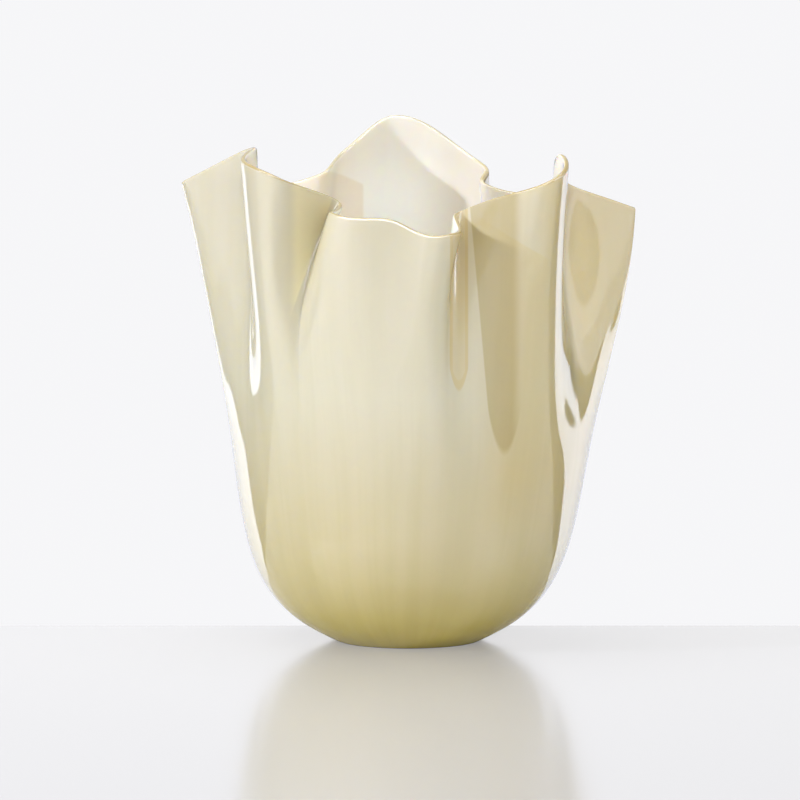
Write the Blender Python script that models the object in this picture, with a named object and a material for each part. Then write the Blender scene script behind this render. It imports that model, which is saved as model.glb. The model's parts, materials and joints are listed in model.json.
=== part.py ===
# Handkerchief vase of blown, cased glass.
# Metres, +Z up. The origin is the middle of the flat foot, and the front pleat faces -Y.

import math

import bmesh
import bpy
import numpy as np

# Bowl
FOOT_RADIUS = 0.040        # flat ring that the vase stands on
FOOT_RIM = 0.0015          # outermost ring of the foot's flat face
BOWL_RADIUS = 0.0990       # outside of the bowl at BOWL_HEIGHT
BOWL_HEIGHT = 0.100
BOTTOM_CURVE = 0.020       # height in which the bottom turns up into the wall
FLARE = 0.130              # outward slope of the wall above the bottom curve
LEAN = 0.0014              # drift of the bowl towards +X at BOWL_HEIGHT; it grows as the height squared

# Glass
WALL = 0.0032              # wall and lip
BASE = 0.0095              # glass over the edge of the foot
BASE_BLEND = 0.022         # height in which the base thins to the wall
FLOOR_DISH = 0.0035        # depth of the dished floor inside

# Pleats
FOLD_START = 0.100         # height above the table where the pleats begin
LIP_LEVEL = 0.255          # height to which the lip heights below are compared

# Two outlines of the pleats, counter-clockwise from above: the waist, half way up from FOLD_START, and the
# outer edge of the lip. Each row is one line up the glass: its bearing on the bowl and its reach from the axis
# at the waist, then its bearing, reach and height at the lip.
PLEATS = (
    # front pleat, with a step in its middle
    (-124.7, 0.1045, -122.5, 0.071, 0.248),
    (-121, 0.1065, -118, 0.091, 0.2443),
    (-115, 0.109, -114, 0.106, 0.2448),
    (-107.5, 0.11, -107.5, 0.1125, 0.2422),
    (-100, 0.11, -100, 0.1115, 0.2422),
    (-95, 0.11, -94, 0.1105, 0.2414),
    (-90, 0.1105, -88.5, 0.1125, 0.2353),
    (-85.5, 0.111, -83, 0.118, 0.2325),
    (-81.5, 0.11, -77.5, 0.1165, 0.2338),
    (-79, 0.1065, -73.5, 0.104, 0.2348),
    # front right pleat
    (-77, 0.102, -71.5, 0.085, 0.2405),
    (-74.5, 0.1015, -67.5, 0.077, 0.2445),
    (-71, 0.106, -65.5, 0.09, 0.2485),
    (-65, 0.11, -64, 0.11, 0.253),
    (-58, 0.112, -60, 0.126, 0.257),
    (-52, 0.113, -56, 0.135, 0.261),
    (-46.5, 0.1125, -51, 0.135, 0.266),
    (-41, 0.1105, -46, 0.126, 0.272),
    (-35, 0.104, -41, 0.112, 0.275),
    # right pleat
    (-28.5, 0.098, -33, 0.0985, 0.269),
    (-22, 0.0955, -24.5, 0.0925, 0.261),
    (-15.5, 0.1005, -17, 0.094, 0.2553),
    (-9, 0.108, -9.5, 0.103, 0.2505),
    (-4, 0.1128, -2.5, 0.115, 0.2455),
    (-1, 0.1158, 2, 0.1255, 0.2412),
    (1.5, 0.1155, 4, 0.1278, 0.2402),
    (5, 0.1135, 6.5, 0.125, 0.2402),
    (11, 0.1115, 11, 0.1195, 0.2408),
    (19, 0.1105, 18, 0.116, 0.242),
    (29, 0.1105, 28, 0.114, 0.243),
    (38, 0.1095, 36.5, 0.1095, 0.244),
    (45.5, 0.107, 43.5, 0.098, 0.245),
    (51, 0.101, 49, 0.083, 0.247),
    # back pleat, the highest
    (56, 0.0965, 54, 0.073, 0.253),
    (60, 0.1, 57, 0.086, 0.258),
    (68, 0.1065, 66, 0.096, 0.264),
    (77, 0.109, 76, 0.102, 0.274),
    (86, 0.11, 86, 0.104, 0.285),
    (96, 0.11, 97, 0.105, 0.287),
    (105, 0.1085, 107, 0.1, 0.275),
    (115, 0.104, 117, 0.092, 0.265),
    # left pleat
    (123, 0.098, 126, 0.081, 0.258),
    (130, 0.1015, 131, 0.093, 0.252),
    (138, 0.106, 138, 0.109, 0.248),
    (148, 0.107, 148, 0.1155, 0.248),
    (158, 0.1065, 158, 0.1175, 0.249),
    (168, 0.1065, 167, 0.1195, 0.25),
    (176, 0.107, 172, 0.1245, 0.2522),
    (181.5, 0.1085, 175.5, 0.1274, 0.254),
    (185.5, 0.1102, 178.8, 0.1241, 0.2565),
    (189, 0.1098, 183, 0.1155, 0.2615),
    (193, 0.106, 188.5, 0.1055, 0.2675),
    (198.5, 0.102, 197.5, 0.0975, 0.274),
    # front left pleat
    (205.5, 0.097, 208, 0.097, 0.277),
    (212, 0.1005, 217, 0.111, 0.276),
    (218, 0.107, 223.5, 0.126, 0.272),
    (224, 0.111, 231, 0.131, 0.268),
    (229, 0.1115, 237, 0.128, 0.263),
    (232, 0.1095, 238, 0.109, 0.258),
    (233.8, 0.1065, 237, 0.085, 0.253),
)

# Mesh
COLUMNS = 112              # faces round the vase
BOWL_RINGS = 8             # rows of faces up the bowl, below the pleats
PLEAT_RINGS = 12           # rows of faces up the pleats
LIP_RINGS = 4              # rows of faces round the lip's edge
SPLINE_STEPS = 24          # points between two rows of PLEATS, before the columns are spaced
BOWL_STEPS = 400           # points up the bowl, before its rings are spaced
BEND_WEIGHT = 0.012        # length that one radian of bend counts for when the columns are spaced
FLOOR_SHARES = (0.75, 0.45)  # rings of the floor, as shares of its radius
SHARP_ANGLE = 50           # degrees; nothing on the vase bends as sharply, so all of it shades smooth


def closed_spline(points, steps):
    # smooth closed curve through the points: a uniform cubic B-spline whose hull is solved for
    count = len(points)
    unit = np.eye(count)
    through = (4 * unit + np.roll(unit, 1, axis=1) + np.roll(unit, -1, axis=1)) / 6
    hull = np.linalg.solve(through, points)
    s = (np.arange(steps) / steps)[None, :, None]
    before, here, after, beyond = (np.roll(hull, shift, axis=0)[:, None, :] for shift in (1, 0, -1, -2))
    curve = ((1 - s) ** 3 * before + (3 * s ** 3 - 6 * s ** 2 + 4) * here
             + (1 + 3 * s + 3 * s ** 2 - 3 * s ** 3) * after + s ** 3 * beyond) / 6
    return curve.reshape(count * steps, -1)


def pleat_columns():
    # bearing, waist reach, lip x, y and height of each column, closer together where the lip bends
    rows = np.array(PLEATS, dtype=float)
    lip_bearing = np.radians(rows[:, 2])
    turn = 2 * math.pi * np.arange(len(rows)) / len(rows)
    points = np.column_stack((np.radians(rows[:, 0]) - turn, rows[:, 1],
                              rows[:, 3] * np.cos(lip_bearing), rows[:, 3] * np.sin(lip_bearing), rows[:, 4]))
    curve = closed_spline(points, SPLINE_STEPS)
    curve[:, 0] += 2 * math.pi * np.arange(len(curve)) / len(curve)

    step = np.roll(curve[:, 2:], -1, axis=0) - curve[:, 2:]
    length = np.linalg.norm(step, axis=1)
    heading = step / length[:, None]
    bend = np.arccos(np.clip((heading * np.roll(heading, -1, axis=0)).sum(axis=1), -1, 1))
    travelled = np.concatenate(([0], np.cumsum(length + BEND_WEIGHT * bend)))
    stops = travelled[-1] * np.arange(COLUMNS) / COLUMNS
    closed = np.vstack((curve, curve[0] + (2 * math.pi, 0, 0, 0, 0)))
    return np.array([np.interp(stops, travelled, values) for values in closed.T])


def bowl_radius(height):
    # straight flaring wall, drawn in to the foot by an exponential bottom curve
    wall = BOWL_RADIUS + FLARE * (height - BOWL_HEIGHT)
    drawn_in = BOWL_RADIUS - FLARE * BOWL_HEIGHT - FOOT_RADIUS
    return wall - drawn_in * np.exp(-height / BOTTOM_CURVE)


def ring_levels():
    # levels of the rings: evenly spaced along the bottom curve, then evenly up the pleats
    fine = np.linspace(0, FOLD_START, BOWL_STEPS)
    along = np.concatenate(([0], np.cumsum(np.hypot(np.diff(fine), np.diff(bowl_radius(fine))))))
    bowl = np.interp(np.linspace(0, along[-1], BOWL_RINGS + 1), along, fine)
    pleats = np.linspace(FOLD_START, LIP_LEVEL, PLEAT_RINGS + 1)
    return np.concatenate((bowl, pleats[1:]))


def bowl_surface(height, bearing):
    # a point on the bowl, or on the bowl's wall carried on upward
    drift = LEAN * (height / BOWL_HEIGHT) ** 2
    return bowl_radius(height) * np.cos(bearing) + drift, bowl_radius(height) * np.sin(bearing)


def outer_surface(levels):
    # a loft: the bowl, pulled to the waist outline half way up the pleats and to the lip outline at the top
    bearing, waist_reach, lip_x, lip_y, lip_height = pleat_columns()
    waist_x, waist_y = bowl_surface((FOLD_START + lip_height) / 2, bearing)
    top_x, top_y = bowl_surface(lip_height, bearing)

    rise = np.clip((levels - FOLD_START) / (LIP_LEVEL - FOLD_START), 0, 1)[:, None]
    waist_share = 8 * rise ** 2 * (1 - rise)
    lip_share = rise ** 2 * (2 * rise - 1)
    height = levels[:, None] + (lip_height - LIP_LEVEL) * rise
    x, y = bowl_surface(height, bearing)
    x += (waist_reach * np.cos(bearing) - waist_x) * waist_share + (lip_x - top_x) * lip_share
    y += (waist_reach * np.sin(bearing) - waist_y) * waist_share + (lip_y - top_y) * lip_share
    return np.stack((x, y, height), axis=2)


def unit_vectors(vectors):
    return vectors / np.linalg.norm(vectors, axis=2, keepdims=True)


def wall_rings():
    # every ring of the vase, from the foot up the outside, over the lip and down the inside to the floor
    levels = ring_levels()
    outer = outer_surface(levels)
    around = np.roll(outer, -1, axis=1) - np.roll(outer, 1, axis=1)
    upward = unit_vectors(np.gradient(outer, levels, axis=0))
    outward = unit_vectors(np.cross(around, upward))
    thickness = WALL + (BASE - WALL) * np.exp(-levels / BASE_BLEND)
    inner = outer - outward * thickness[:, None, None]

    middle = (outer[-1] + inner[-1]) / 2
    lip = []
    for step in range(1, LIP_RINGS):
        angle = math.pi * step / LIP_RINGS
        lip.append(middle + WALL / 2 * (outward[-1] * math.cos(angle) + upward[-1] * math.sin(angle)))

    floor = []
    for share in FLOOR_SHARES:
        ring = inner[0] * (share, share, 1)
        ring[:, 2] -= FLOOR_DISH * (1 - share ** 2)
        floor.append(ring)
    foot = outer[0] * (1 - FOOT_RIM / FOOT_RADIUS)
    return [foot] + list(outer) + lip + list(inner[::-1]) + floor


def build_vase():
    mesh = bmesh.new()
    rings = [[mesh.verts.new(point) for point in ring] for ring in wall_rings()]
    for lower, upper in zip(rings, rings[1:]):
        for k in range(COLUMNS):
            after = (k + 1) % COLUMNS
            mesh.faces.new((lower[k], lower[after], upper[after], upper[k]))
    mesh.faces.new(reversed(rings[0]))
    mesh.faces.new(rings[-1])
    bmesh.ops.recalc_face_normals(mesh, faces=mesh.faces)

    data = bpy.data.meshes.new("vase")
    mesh.to_mesh(data)
    mesh.free()
    data.shade_smooth()
    data.set_sharp_from_angle(angle=math.radians(SHARP_ANGLE))
    vase = bpy.data.objects.new("vase", data)
    bpy.context.scene.collection.objects.link(vase)
    return vase


def cased_glass():
    material = bpy.data.materials.new("cased_glass")
    material.use_nodes = True
    shader = material.node_tree.nodes["Principled BSDF"]
    shader.inputs["Base Color"].default_value = (0.70, 0.64, 0.45, 1)
    shader.inputs["Roughness"].default_value = 0.08
    shader.inputs["Metallic"].default_value = 0.0
    return material


for old in list(bpy.data.objects):
    bpy.data.objects.remove(old)
vase = build_vase()
vase.data.materials.append(cased_glass())
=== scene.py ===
import json
import math

import bpy
import numpy as np
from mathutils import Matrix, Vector

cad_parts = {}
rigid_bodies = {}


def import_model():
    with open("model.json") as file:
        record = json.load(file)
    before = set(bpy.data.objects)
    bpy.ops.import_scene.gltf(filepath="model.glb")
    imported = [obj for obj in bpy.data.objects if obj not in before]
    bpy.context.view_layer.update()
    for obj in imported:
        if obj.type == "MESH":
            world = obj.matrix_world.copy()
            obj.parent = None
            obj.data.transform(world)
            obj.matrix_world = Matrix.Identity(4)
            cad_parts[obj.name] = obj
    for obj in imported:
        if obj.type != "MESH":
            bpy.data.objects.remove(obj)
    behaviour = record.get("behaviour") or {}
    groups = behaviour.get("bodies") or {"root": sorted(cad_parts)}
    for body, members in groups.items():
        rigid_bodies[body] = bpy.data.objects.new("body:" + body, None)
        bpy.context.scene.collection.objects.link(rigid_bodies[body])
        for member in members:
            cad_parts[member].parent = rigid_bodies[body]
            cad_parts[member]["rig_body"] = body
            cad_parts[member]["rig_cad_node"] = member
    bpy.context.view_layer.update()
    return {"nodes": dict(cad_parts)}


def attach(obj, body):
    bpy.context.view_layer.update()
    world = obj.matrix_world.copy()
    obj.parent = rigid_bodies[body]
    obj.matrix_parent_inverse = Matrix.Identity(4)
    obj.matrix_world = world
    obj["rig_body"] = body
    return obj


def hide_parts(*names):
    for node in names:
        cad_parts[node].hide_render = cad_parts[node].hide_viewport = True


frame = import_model()


def deselectAll():
    for thing in bpy.context.view_layer.objects:
        thing.select_set(False)


def makeActive(thing):
    deselectAll()
    thing.select_set(True)
    bpy.context.view_layer.objects.active = thing


def selectFaces(thing, wanted):        # leaves the object in edit mode with only the wanted faces selected
    makeActive(thing)
    bpy.ops.object.mode_set(mode="EDIT")
    bpy.ops.mesh.select_mode(type="FACE")
    bpy.ops.mesh.select_all(action="DESELECT")
    bpy.ops.object.mode_set(mode="OBJECT")
    for face in thing.data.polygons:
        face.select = wanted(face)
    bpy.ops.object.mode_set(mode="EDIT")


class Wire:
    # a socket that can be added, multiplied and so on
    def __init__(self, tree, socket):
        self.tree = tree
        self.socket = socket

    def maths(self, operation, first, second=0):
        node = self.tree.nodes.new("ShaderNodeMath")
        node.operation = operation
        for place, item in enumerate((first, second)):
            if isinstance(item, Wire):
                self.tree.links.new(item.socket, node.inputs[place])
            else:
                node.inputs[place].default_value = item
        return Wire(self.tree, node.outputs[0])

    def __add__(self, other):
        return self.maths("ADD", self, other)

    def __radd__(self, other):
        return self.maths("ADD", other, self)

    def __sub__(self, other):
        return self.maths("SUBTRACT", self, other)

    def __rsub__(self, other):
        return self.maths("SUBTRACT", other, self)

    def __mul__(self, other):
        return self.maths("MULTIPLY", self, other)

    def __rmul__(self, other):
        return self.maths("MULTIPLY", other, self)

    def __abs__(self):
        return self.maths("ABSOLUTE", self)


class Recipe:
    # the node tree of one material or of the world
    def __init__(self, tree):
        self.tree = tree
        self.tree.nodes.clear()

    def add(self, kind, settings=None, sockets=None, output=0):
        node = self.tree.nodes.new(kind)
        for name, value in (settings or {}).items():
            if name == "stops":
                ramp = node.color_ramp
                while len(ramp.elements) < len(value):
                    ramp.elements.new(0.5)
                for element, (place, colour) in zip(ramp.elements, value):
                    element.position = place
                    element.color = (*colour, 1)
            else:
                setattr(node, name, value)
        for name, value in (sockets or {}).items():
            if isinstance(value, Wire):
                self.tree.links.new(value.socket, node.inputs[name])
            else:
                node.inputs[name].default_value = value
        return Wire(self.tree, node.outputs[output])

    def parts(self, vector):               # the three numbers of a vector
        return [self.add("ShaderNodeSeparateXYZ", None, {"Vector": vector}, part) for part in range(3)]

    def step(self, value, low, high):      # 0 below low, 1 above high, smooth between
        return self.add("ShaderNodeMapRange", {"interpolation_type": "SMOOTHSTEP"},
                        {"Value": value, "From Min": low, "From Max": high, "To Min": 0.0, "To Max": 1.0})

    def blend(self, share, first, second, how="MIX"):
        settings = {"data_type": "RGBA", "blend_type": how}
        colours = [item if isinstance(item, Wire) else (*item, 1) for item in (first, second)]
        return self.add("ShaderNodeMix", settings, {0: share, 6: colours[0], 7: colours[1]}, 2)

    def finish(self, shader, kind="ShaderNodeOutputMaterial"):
        self.tree.links.new(shader.socket, self.tree.nodes.new(kind).inputs["Surface"])


# the photograph's viewing angle
cameraView = {
    "place": (-0.00448, -3.6, 0.467558),
    "tilt": math.radians(90 - 5.2836),
    "lens": 291.516,
    "sensor": 36,
}


def setCamera(values):
    camera = bpy.data.objects.new("camera", bpy.data.cameras.new("camera"))
    bpy.context.scene.collection.objects.link(camera)
    camera.location = values["place"]
    camera.rotation_euler = (values["tilt"], 0, 0)
    camera.data.lens = values["lens"]
    camera.data.sensor_width = values["sensor"]
    bpy.context.scene.camera = camera


setCamera(cameraView)
bpy.context.scene.view_settings.view_transform = "Standard"
print("camera set")


# lengths in metres; x to the right, y to the back and z up, as seen in the photograph
glass = {
    "merge": 0.00002,              # corners closer than this are one corner
    "flat": 0.00001,               # what is lower than this lies in the plane of the foot
    "axis": 0.0001,                # a corner nearer the middle than this has no bearing
    "footRim": 0.0012,             # ring of faces along the edge of the foot
    "footRing": 0.012,             # next ring towards the middle of the foot
    "footReach": 0.0395,           # the edge of the foot is further out than this
    "footCrease": 0.35,            # how crisp the edge of the foot stays
    "pairing": math.radians(60),   # how bent or skewed a pair of triangles may be
    "smoothing": 2,                # subdivision levels
    "roughness": 0.035,
    "density": 1.65,               # index of refraction
    "depth": 0.003,                # how far light spreads inside the milky glass
    "depthColour": (1.0, 0.85, 0.5),
    "bump": 0.15,
    "bumpDepth": 0.002,
    # noise along the bearing and up the rings of the wall
    "broad": {"turn": 3.2, "rise": 0.035, "scale": 2.2, "detail": 3.0},
    "fine": {"turn": 11.0, "rise": 0.05, "scale": 3.0, "detail": 5.0},
    "ripple": {"turn": 3.2, "rise": 0.035, "scale": 1.4, "detail": 1.0},
    "broadShare": 0.8,
    "fineShare": 0.2,
    "streakEdge": (0.36, 0.66),
    # the coloured skin, as it shows in plain light: thick at the foot, drawn out thin towards the lip
    "skin": {
        "byHeight": (
            (0.0, (0.465, 0.375, 0.06)),
            (0.03, (0.475, 0.40, 0.162)),
            (0.065, (0.525, 0.458, 0.25)),
            (0.103, (0.565, 0.512, 0.33)),
            (0.145, (0.60, 0.565, 0.405)),
            (0.25, (0.61, 0.565, 0.41)),
        ),
        "tallest": 0.3,
        "streakTone": (1.06, 1.06, 1.12),
        "streakShare": 0.8,
        # painted shade: the left side, where the key light falls strongest, made darker
        "leftPaintedShade": (0.95, 0.95, 0.93),
        "leftTurn": (-0.75, -0.30),    # where it begins and ends, as the x part of the bearing
        # painted shade: deeper, more saturated colour on the right, the side turned away from the key light,
        # above the foot
        "rightPaintedShade": (0.98, 0.91, 0.71),
        "rightTurn": (0.28, 0.62),
        "rightFoot": (0.05, 0.11),
        # painted light: the far right fold made paler
        "farPaintedLight": (1.09, 1.08, 1.03),
        "farTurn": (0.86, 0.97),
        "frontEdge": (-0.012, -0.006),  # the painted corner light, valley reflection, blade shade and wedge light are in front of this
    },
    # painted light: a paler corner above the blade, where the key light falls past the front pleat and the
    # right side's painted shade is weaker
    "corner": {"lean": 0.6, "level": (0.265, 0.267), "right": (0.066, 0.08), "share": 0.7},
    # painted reflection: a long dark ring in the right valley beside the front pleat, with a paler core
    "valley": {
        "tone": (0.96, 0.87, 0.67),
        "left": 0.0225,
        "right": 0.0325,
        "sideEdge": (0.92, 1.08),      # from the middle, where 1 is half the width
        "lowest": 0.1475,
        "lowEdge": 0.003,
        "rounding": 0.012,             # how much higher its lower end is at the sides
        "coreEdge": (0.62, 0.72),
        "coreLow": (0.006, 0.008),     # above the lowest point
        "coreShare": 0.4,
    },
    # painted shade: a deeper blade of colour up the right front wall
    "blade": {
        "tone": (0.81, 0.755, 0.60),
        "left": 0.0345,
        "leftEdge": 0.001,
        "right": (0.056, 0.0625),
        "lean": 0.09,                  # how much its left side leans to the right on the way down
        "top": 0.232,
        "middle": 0.0525,
        "lowest": 0.111,
        "lowEdge": 0.006,
        "rounding": 288,               # rise of its lower end, times the distance from the middle squared
    },
    # painted light: a warm, paler wedge in the left valley, lifting the valley's shade
    "wedge": {
        "tone": (1.22, 1.21, 1.10),
        "left": -0.0652,
        "leftEdge": 0.006,
        "right": -0.0487,
        "rightEdge": 0.0015,
        "lean": 0.36,                  # how much its right side leans to the left on the way down
        "top": 0.229,
    },
    # the milky inside, with painted light further down and painted shade on the upper part of the back wall
    "milk": {
        "ivory": (0.86, 0.825, 0.745),
        "ivoryPale": (0.88, 0.855, 0.775),
        "thick": (0.93, 0.91, 0.855),  # painted light: paler further down the inside
        "paintedLightFrom": (0.236, 0.278),
        "back": (0.01, 0.06),
        "backFoot": (0.16, 0.22),
        # painted shade: the key-lit right of the back wall made darker
        "rightPaintedShade": (0.86, 0.84, 0.79),
        "rightEdge": (0.0, 0.03),
        # painted shadow: a darker patch on the left of the back wall, with a crisp edge
        "paintedShadowTone": (0.93, 0.89, 0.81),
        "patchRight": -0.0245,
        "patchTop": 0.2497,
        "patchSlope": 0.505,
        "patchEdge": 0.002,
    },
    # coloured line along the lip, in rings of corners from the top of the lip, fainter at the back
    "lip": {
        "ring": 22,                    # rings from the foot up to the top of the lip
        "inside": (0.6, 1.6),
        "lineStart": (-1.4, -1.0),
        "lineEnd": (0.5, 1.0),
        "lineColour": (0.40, 0.30, 0.085),
        "lineShare": 0.8,
        "backLess": 0.6,
        "back": (0.0, 0.04),
    },
}


def copyOfVase(values):
    node = frame["nodes"]["vase"]
    makeActive(node)
    bpy.ops.object.duplicate()
    vase = bpy.context.view_layer.objects.active
    vase.name = "vaseGlass"
    vase.data.name = "vaseGlass"
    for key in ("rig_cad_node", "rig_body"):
        if key in vase:
            del vase[key]
    vase.parent = None
    bpy.ops.object.mode_set(mode="EDIT")
    bpy.ops.mesh.select_all(action="SELECT")
    bpy.ops.mesh.remove_doubles(threshold=values["merge"])
    bpy.ops.mesh.customdata_custom_splitnormals_clear()
    bpy.ops.object.mode_set(mode="OBJECT")
    return vase


def squareUpFoot(vase, values):        # one clean face under the foot, with rings round it
    selectFaces(vase, lambda face: abs(face.center.z) < values["flat"])
    bpy.ops.mesh.dissolve_faces()
    bpy.ops.mesh.inset(thickness=values["footRim"])
    bpy.ops.mesh.inset(thickness=values["footRing"])
    bpy.ops.mesh.poke()
    bpy.ops.object.mode_set(mode="OBJECT")


def pairTriangles(vase, values):       # back to the four-sided faces that run up and round the wall
    selectFaces(vase, lambda face: abs(face.center.z) > values["flat"])
    bpy.ops.mesh.tris_convert_to_quads(face_threshold=values["pairing"], shape_threshold=values["pairing"])
    bpy.ops.object.mode_set(mode="OBJECT")


def neighboursOf(mesh):
    neighbours = [[] for corner in mesh.vertices]
    for edge in mesh.edges:
        first, second = edge.vertices
        neighbours[first].append(second)
        neighbours[second].append(first)
    return neighbours


def ringsFromFoot(mesh, values):
    # for each corner, how many rings it is from the foot and the bearing of its line up the wall
    neighbours = neighboursOf(mesh)
    rings = np.full(len(mesh.vertices), -1.0)
    bearings = np.zeros((len(mesh.vertices), 2))
    ring = [corner.index for corner in mesh.vertices if corner.co.z < values["flat"]]
    for index in ring:
        rings[index] = 0
        place = mesh.vertices[index].co.xy
        bearings[index] = place.normalized() if place.length > values["axis"] else (0, 0)
    tiny = 1e-9                        # keeps the division below from failing
    while ring:
        found = sorted({other for index in ring for other in neighbours[index] if rings[other] < 0})
        for index in found:
            lower = [bearings[other] for other in neighbours[index] if 0 <= rings[other]]
            mean = np.mean(lower, axis=0)
            bearings[index] = mean / max(np.linalg.norm(mean), tiny)
        level = rings[ring[0]] + 1
        for index in found:
            rings[index] = level
        ring = found
    return rings, bearings


def creaseFoot(mesh, values):
    creases = mesh.attributes.get("crease_edge") or mesh.attributes.new("crease_edge", "FLOAT", "EDGE")
    for edge in mesh.edges:
        first, second = (mesh.vertices[index].co for index in edge.vertices)
        inFoot = max(first.z, second.z) < values["flat"]
        onRim = inFoot and min(first.xy.length, second.xy.length) > values["footReach"]
        creases.data[edge.index].value = values["footCrease"] if onRim else 0


def smoothOut(vase, values):
    makeActive(vase)
    smooth = vase.modifiers.new("smoothing", "SUBSURF")
    smooth.levels = values["smoothing"]
    smooth.render_levels = values["smoothing"]
    bpy.ops.object.modifier_apply(modifier=smooth.name)
    bpy.ops.object.shade_smooth()


def buildVase(values):
    vase = copyOfVase(values)
    squareUpFoot(vase, values)
    pairTriangles(vase, values)
    mesh = vase.data
    rings, bearings = ringsFromFoot(mesh, values)
    fourSided = sum(len(face.vertices) == 4 for face in mesh.polygons)
    print("vase:", len(mesh.polygons), "faces,", fourSided, "four-sided,", int(rings.max()), "rings")
    place = mesh.attributes.new("wallPlace", "FLOAT_VECTOR", "POINT")
    spots = np.column_stack((bearings, rings)).astype(np.float32)
    place.data.foreach_set("vector", spots.ravel())
    creaseFoot(mesh, values)
    smoothOut(vase, values)
    return vase


def placesOnWall(recipe):
    # the bearing of a point's line up the wall, its ring of corners, and where it is on the piece
    wall = recipe.add("ShaderNodeAttribute", {"attribute_name": "wallPlace"}, output=1)
    spot = recipe.add("ShaderNodeTexCoord", output=3)
    return dict(zip(("turnX", "turnY", "ring", "x", "y", "height"), recipe.parts(wall) + recipe.parts(spot)))


def drawnOutNoise(recipe, at, values):       # drawn out up the wall, as the glass was when it was blown
    along = recipe.add("ShaderNodeCombineXYZ", None, {
        "X": at["turnX"] * values["turn"],
        "Y": at["turnY"] * values["turn"],
        "Z": at["ring"] * values["rise"],
    })
    return recipe.add("ShaderNodeTexNoise", None, {
        "Vector": along,
        "Scale": values["scale"],
        "Detail": values["detail"],
    })


def drawnOutStreaks(recipe, at, values):
    broad = drawnOutNoise(recipe, at, values["broad"]) * values["broadShare"]
    fine = drawnOutNoise(recipe, at, values["fine"]) * values["fineShare"]
    return recipe.step(broad + fine, *values["streakEdge"])


def paintedLightCornerMask(recipe, at, values):
    mask = recipe.step(at["height"] + at["x"] * values["lean"], *values["level"])
    return mask * (1 - recipe.step(at["x"], *values["right"])) * values["share"]


def paintedReflectionValleyMask(recipe, at, values):
    middle = (values["left"] + values["right"]) / 2
    half = (values["right"] - values["left"]) / 2
    offset = (at["x"] - middle) * (1 / half)
    level = at["height"] - offset * offset * values["rounding"]
    lowest = values["lowest"]
    mask = 1 - recipe.step(abs(offset), *values["sideEdge"])
    mask = mask * recipe.step(level, lowest, lowest + values["lowEdge"])
    coreLow, coreHigh = values["coreLow"]
    core = 1 - recipe.step(abs(offset), *values["coreEdge"])
    core = core * recipe.step(level, lowest + coreLow, lowest + coreHigh)
    return mask * (1 - core * values["coreShare"])


def paintedShadeBladeMask(recipe, at, values):
    lean = (values["top"] - at["height"]) * values["lean"]
    mask = recipe.step(at["x"] - lean - values["left"], 0.0, values["leftEdge"])
    mask = mask * (1 - recipe.step(at["x"], *values["right"]))
    offset = at["x"] - values["middle"]
    level = at["height"] - offset * offset * values["rounding"]
    return mask * recipe.step(level, values["lowest"], values["lowest"] + values["lowEdge"])


def paintedLightWedgeMask(recipe, at, values):
    lean = (values["top"] - at["height"]) * values["lean"]
    mask = recipe.step(values["right"] - lean - at["x"], 0.0, values["rightEdge"])
    return mask * recipe.step(at["x"] - values["left"], 0.0, values["leftEdge"])


def outsideColour(recipe, at, streak, values):
    skin = values["skin"]
    stops = [(height / skin["tallest"], colour) for height, colour in skin["byHeight"]]
    colour = recipe.add("ShaderNodeValToRGB", {"stops": stops}, {0: at["height"] * (1 / skin["tallest"])})
    front = 1 - recipe.step(at["y"], *skin["frontEdge"])
    # painted shade on the right, lessened where the corner's painted light falls
    right = recipe.step(at["turnX"], *skin["rightTurn"]) * recipe.step(at["height"], *skin["rightFoot"])
    right = right * (1 - front * paintedLightCornerMask(recipe, at, values["corner"]))
    # the streaks are the glass's own tone; the other tones are painted shade, painted light and painted
    # reflection
    tones = (
        (streak * skin["streakShare"], skin["streakTone"]),
        (1 - recipe.step(at["turnX"], *skin["leftTurn"]), skin["leftPaintedShade"]),
        (right, skin["rightPaintedShade"]),
        (recipe.step(at["turnX"], *skin["farTurn"]), skin["farPaintedLight"]),
        (front * paintedReflectionValleyMask(recipe, at, values["valley"]), values["valley"]["tone"]),
        (front * paintedShadeBladeMask(recipe, at, values["blade"]), values["blade"]["tone"]),
        (front * paintedLightWedgeMask(recipe, at, values["wedge"]), values["wedge"]["tone"]),
    )
    for share, tone in tones:
        colour = recipe.blend(share, colour, tone, "MULTIPLY")
    return colour


def insideColour(recipe, at, streak, values):
    colour = recipe.blend(streak, values["ivory"], values["ivoryPale"])
    # painted light: paler lower down the inside
    colour = recipe.blend(1 - recipe.step(at["height"], *values["paintedLightFrom"]), colour, values["thick"])
    # painted shade on the right of the back wall's upper part
    back = recipe.step(at["y"], *values["back"]) * recipe.step(at["height"], *values["backFoot"])
    right = recipe.step(at["x"], *values["rightEdge"])
    colour = recipe.blend(back * right, colour, values["rightPaintedShade"], "MULTIPLY")
    # painted shadow: a darker patch on the left of the back wall
    top = values["patchTop"] - (at["x"] - values["patchRight"]) * values["patchSlope"]
    paintedShadow = recipe.step(values["patchRight"] - at["x"], 0.0, values["patchEdge"])
    paintedShadow = paintedShadow * recipe.step(top - at["height"], 0.0, values["patchEdge"])
    return recipe.blend(back * paintedShadow, colour, values["paintedShadowTone"], "MULTIPLY")


def lipColour(recipe, at, outside, inside, values):
    ring = at["ring"] - values["ring"]
    colour = recipe.blend(recipe.step(ring, *values["inside"]), outside, inside)
    line = recipe.step(ring, *values["lineStart"]) * (1 - recipe.step(ring, *values["lineEnd"]))
    share = values["lineShare"] - values["backLess"] * recipe.step(at["y"], *values["back"])
    return recipe.blend(line * share, colour, values["lineColour"])


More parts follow.
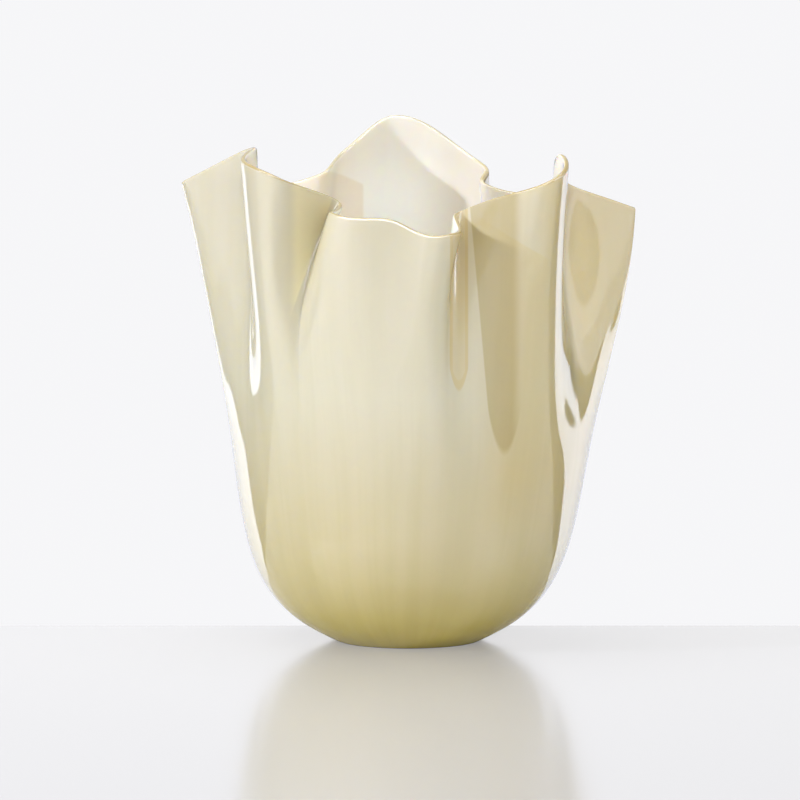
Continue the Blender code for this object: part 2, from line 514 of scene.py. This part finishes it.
def casedGlass(values):
    material = bpy.data.materials.new("casedGlass")
    material.use_nodes = True
    recipe = Recipe(material.node_tree)
    at = placesOnWall(recipe)
    streak = drawnOutStreaks(recipe, at, values)
    outside = outsideColour(recipe, at, streak, values)
    inside = insideColour(recipe, at, streak, values["milk"])
    bump = recipe.add("ShaderNodeBump", None, {
        "Strength": values["bump"],
        "Distance": values["bumpDepth"],
        "Height": drawnOutNoise(recipe, at, values["ripple"]),
    })
    shader = recipe.add("ShaderNodeBsdfPrincipled", {"subsurface_method": "RANDOM_WALK"}, {
        "Base Color": lipColour(recipe, at, outside, inside, values["lip"]),
        "Roughness": values["roughness"],
        "IOR": values["density"],
        "Subsurface Weight": 1.0,
        "Subsurface Radius": values["depthColour"],
        "Subsurface Scale": values["depth"],
        "Normal": bump,
    })
    recipe.finish(shader)
    return material


vase = buildVase(glass)
vase.data.materials.clear()
vase.data.materials.append(casedGlass(glass))
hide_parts("vase")
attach(vase, "root")
print("vase built")


# the table that the vase stands on
table = {
    "size": (3.2, 2.6, 0.03),
    "backEdge": 0.064,             # how far behind the middle of the vase the table ends
    "edge": 0.003,
    "edgeSteps": 3,
    "white": (0.84, 0.84, 0.835),
    "roughness": 0.15,
    "density": 1.5,                # index of refraction
    "shade": (0.12, 0.12, 0.12),   # the camera sees most of the table's own colour as plain light, so that
    "glow": (0.34, 0.337, 0.355),  # the shadow round the vase stays as faint as it is under large lamps
    "plainShare": 0.75,
}


def tableWhite(values):
    material = bpy.data.materials.new("tableWhite")
    material.use_nodes = True
    recipe = Recipe(material.node_tree)
    lit = recipe.add("ShaderNodeBsdfPrincipled", None, {
        "Base Color": (*values["white"], 1),
        "Roughness": values["roughness"],
        "IOR": values["density"],
    })
    plain = recipe.add("ShaderNodeBsdfPrincipled", None, {
        "Base Color": (*values["shade"], 1),
        "Roughness": values["roughness"],
        "IOR": values["density"],
        "Emission Color": (*values["glow"], 1),
        "Emission Strength": 1.0,
    })
    cameraRay = recipe.add("ShaderNodeLightPath", output=0)
    share = cameraRay * values["plainShare"]
    recipe.finish(recipe.add("ShaderNodeMixShader", None, {0: share, 1: lit, 2: plain}))
    return material


def buildTable(values):
    deselectAll()
    depth, thick = values["size"][1:]
    bpy.ops.mesh.primitive_cube_add(size=1, location=(0, values["backEdge"] - depth / 2, -thick / 2))
    slab = bpy.context.view_layer.objects.active
    slab.name = "tableTop"
    slab.scale = values["size"]
    bpy.ops.object.transform_apply(location=True, rotation=False, scale=True)
    bevel = slab.modifiers.new("softEdge", "BEVEL")
    bevel.width = values["edge"]
    bevel.segments = values["edgeSteps"]
    bpy.ops.object.modifier_apply(modifier=bevel.name)
    slab.data.materials.append(tableWhite(values))
    return slab


buildTable(table)
print("table built")


# of the lamps only the top light is mirrored; the screens and the panel that the glass mirrors are in the
# studio below
lamps = {
    "keyLight": {
        "bearing": math.radians(199),  # counter-clockwise from +X seen from above
        "rise": math.radians(15),      # above the table
        "distance": 2.6,
        "aim": (0, 0, 0.12),
        "size": (0.14, 0.14),
        "power": 38.0,
        "colour": (0.97, 1.0, 1.2),
        "mirrored": False,
    },
    "frontFill": {
        "place": (0.4, -3.0, 0.9),
        "aim": (0, 0, 0.15),
        "size": (1.6, 1.2),
        "power": 42.0,
        "colour": (0.98, 1.0, 1.1),
        "mirrored": False,
    },
    "topLight": {
        "place": (-0.2, 0.1, 1.9),
        "aim": (0, 0, 0),
        "size": (1.5, 1.1),
        "power": 22.0,
        "colour": (1, 1, 1),
        "mirrored": True,
    },
}


def placeByBearing(values):
    level = values["distance"] * math.cos(values["rise"])
    height = values["aim"][2] + values["distance"] * math.sin(values["rise"])
    return (level * math.cos(values["bearing"]), level * math.sin(values["bearing"]), height)


def addPanel(name, values):
    lamp = bpy.data.objects.new(name, bpy.data.lights.new(name, "AREA"))
    bpy.context.scene.collection.objects.link(lamp)
    lamp.data.shape = "RECTANGLE"
    lamp.data.size, lamp.data.size_y = values["size"]
    lamp.data.energy = values["power"]
    lamp.data.color = values["colour"]
    lamp.location = values["place"] if "place" in values else placeByBearing(values)
    lamp.rotation_euler = (Vector(values["aim"]) - lamp.location).to_track_quat("-Z", "Y").to_euler()
    lamp.visible_camera = False
    lamp.visible_glossy = values["mirrored"]


for lampName, lampValues in lamps.items():
    addPanel(lampName, lampValues)
print("lamps set")


# what comes after the ambient light is only mirrored; it is placed by the direction of the ray, by its parts
# across, back and up and its bearing in radians from straight behind, positive to the right; a pair says where
# an edge begins and ends
studio = {
    "backdrop": (0.925, 0.925, 0.94),  # as the camera sees it
    "ambient": 0.29,               # plain light from all round
    "ambientColour": (1.04, 1.0, 0.86),
    "surround": 0.8,               # what the glass mirrors all round
    "gap": 0.12,                   # the dark between the things that the glass mirrors
    "behindTop": (0.0, 0.03),      # behind and below this the dark takes the place of the plain surround
    "behindFrom": (0.05, 0.12),
    "brightTop": (-0.055, -0.035),  # the screen and the floor lie below this
    "screen": 3.3,                 # bright screen behind the table
    "screenLeft": (-0.80, -0.76),
    "screenRight": (0.76, 0.80),
    "screenFoot": (-0.20, -0.18),
    "screenSpread": 0.42,          # how much further right its lower end goes
    "spreadFrom": (-0.20, -0.09),
    "screenGlow": ((0.0, (0.24, 0.24, 0.24)), (0.17, (0.30, 0.30, 0.30)), (0.35, (0.38, 0.38, 0.38)),
                   (0.5, (0.50, 0.50, 0.50)), (0.73, (0.78, 0.78, 0.78)), (0.93, (1, 1, 1))),
    "mirrorTint": (0.93, 0.97, 1.12),  # colour of all that is mirrored but the backdrop
    "floorSlope": 2.2,             # how steeply the glass looks down on the near end of the white floor
    "floorEdge": (0.0, 0.03),
    "side": 1.2,                   # softer screen to the right
    "sideNear": (1.1, 1.14),
    "sideFar": (1.66, 1.72),
    "overhead": 8.0,               # bright panel over the camera, which draws the white line along the lip
    "overheadLow": (0.42, 0.5),
    "overheadHigh": (0.80, 0.88),
    "overheadBack": (-0.15, -0.05),
    "backGlow": 0.97,              # the backdrop as the table mirrors it
    "backTint": (1.0, 1.0, 1.01),
    "backFoot": (0.01, 0.04),
    "backFrom": (0.3, 0.6),
}


def rayDirection(recipe):
    way = dict(zip(("across", "back", "up"), recipe.parts(recipe.add("ShaderNodeTexCoord", output=0))))
    way["bearing"] = way["across"].maths("ARCTAN2", way["across"], way["back"])
    return way


def screenAndFloor(recipe, way, values):
    wider = (1 - recipe.step(way["up"], *values["spreadFrom"])) * values["screenSpread"]
    left = recipe.step(way["bearing"], *values["screenLeft"])
    screen = left * (1 - recipe.step(way["bearing"] - wider, *values["screenRight"]))
    floor = recipe.step(way["back"] + way["up"] * values["floorSlope"], *values["floorEdge"]) * left
    upper = recipe.step(way["up"], *values["screenFoot"])
    lowEnough = 1 - recipe.step(way["up"], *values["brightTop"])
    glow = recipe.add("ShaderNodeValToRGB", {"stops": values["screenGlow"]}, {0: abs(way["bearing"])})
    bright = glow * values["screen"] - values["gap"]
    return lowEnough * (upper * screen + (1 - upper) * floor) * bright


def sideScreen(recipe, way, values):
    side = recipe.step(way["bearing"], *values["sideNear"])
    side = side * (1 - recipe.step(way["bearing"], *values["sideFar"]))
    return recipe.step(way["up"], *values["screenFoot"]) * side * values["side"]


def overheadPanel(recipe, way, values):
    panel = recipe.step(way["up"], *values["overheadLow"])
    panel = panel * (1 - recipe.step(way["up"], *values["overheadHigh"]))
    return panel * (1 - recipe.step(way["back"], *values["overheadBack"])) * values["overhead"]


def setStudio(values):
    world = bpy.data.worlds.new("studio")
    world.use_nodes = True
    bpy.context.scene.world = world
    recipe = Recipe(world.node_tree)
    way = rayDirection(recipe)
    behind = 1 - recipe.step(way["up"], *values["behindTop"])
    behind = behind * recipe.step(way["back"], *values["behindFrom"])
    mirrored = values["surround"] * (1 - behind) + behind * values["gap"]
    mirrored = mirrored + behind * screenAndFloor(recipe, way, values)
    mirrored = mirrored + sideScreen(recipe, way, values) + overheadPanel(recipe, way, values)
    backdrop = recipe.step(way["up"], *values["backFoot"]) * recipe.step(way["back"], *values["backFrom"])
    mirrored = mirrored + backdrop * (values["backGlow"] - values["surround"])
    cameraRay = recipe.add("ShaderNodeLightPath", output=0)
    glossyRay = recipe.add("ShaderNodeLightPath", output=3)
    tint = recipe.blend(backdrop, values["mirrorTint"], values["backTint"])
    plain = recipe.add("ShaderNodeBackground", None, {
        "Color": recipe.blend(glossyRay, values["ambientColour"], tint),
        "Strength": values["ambient"] + glossyRay * (mirrored - values["ambient"]),
    })
    seen = recipe.add("ShaderNodeBackground", None, {"Color": (*values["backdrop"], 1), "Strength": 1.0})
    recipe.finish(recipe.add("ShaderNodeMixShader", None, {0: cameraRay, 1: plain, 2: seen}),
                  "ShaderNodeOutputWorld")


setStudio(studio)
print("studio set")
